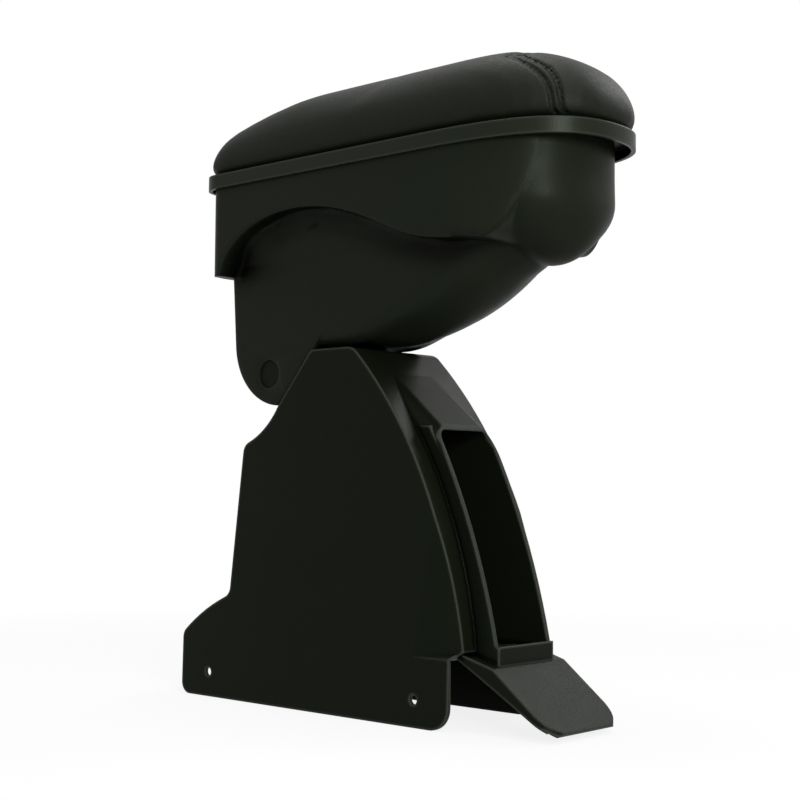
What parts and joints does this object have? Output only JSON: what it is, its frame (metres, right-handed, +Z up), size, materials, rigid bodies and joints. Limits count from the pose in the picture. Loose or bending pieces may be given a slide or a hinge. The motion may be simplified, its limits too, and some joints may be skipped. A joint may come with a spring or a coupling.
{
  "type": "car centre armrest",
  "caption": "Car centre armrest: a moulded stand that straddles the console, with a front pocket, and a tilting arm with a storage box under a hinged padded lid.",
  "frame": {"origin": "in the base plane, midway between the two skirts and between their front and rear ends", "axes": "+X towards the front of the car, +Y to the left, +Z up"},
  "size_m": [0.3305, 0.1186, 0.3961],
  "materials": {
    "stand_plastic": "fine satin grain, near black",
    "arm_plastic": "fine satin grain, near black",
    "band_plastic": "satin, near black",
    "cap_plastic": "smooth satin, near black",
    "pad_leather": "black artificial leather with a fine grain",
    "board_plastic": "plain, hidden",
    "nylon": "natural nylon",
    "washer_rubber": "plain",
    "bracket_steel": "zinc plated sheet",
    "fastener_steel": "zinc plated"
  },
  "bodies": {
    "stand": {"stand_shell": "stand_plastic", "hinge_bracket": "bracket_steel", "bracket_bolts": "fastener_steel", "bracket_washers": "fastener_steel", "bracket_nuts": "fastener_steel", "spacer_tube": "fastener_steel", "pivot_bushes": "nylon"},
    "arm": {"arm_body": "arm_plastic", "pivot_bolt": "fastener_steel", "pivot_nut": "fastener_steel", "spring_washer": "fastener_steel", "friction_washers": "washer_rubber", "pivot_cap_left": "cap_plastic", "pivot_cap_right": "cap_plastic", "lid_hinge_pins": "fastener_steel"},
    "lid": {"lid_frame": "band_plastic", "pad_board": "board_plastic", "pad_screws": "fastener_steel", "pad": "pad_leather"}
  },
  "joints": [
    {"name": "arm_lift", "type": "hinge", "parent": "stand", "child": "arm", "pos_m": [-0.0449, 0, 0.2173], "axis": [0, -1, 0], "range_deg": [0, 90]},
    {"name": "lid_open", "type": "hinge", "parent": "arm", "child": "lid", "pos_m": [-0.0963, 0, 0.3396], "axis": [0, -1, 0], "range_deg": [0, 95]}
  ]
}
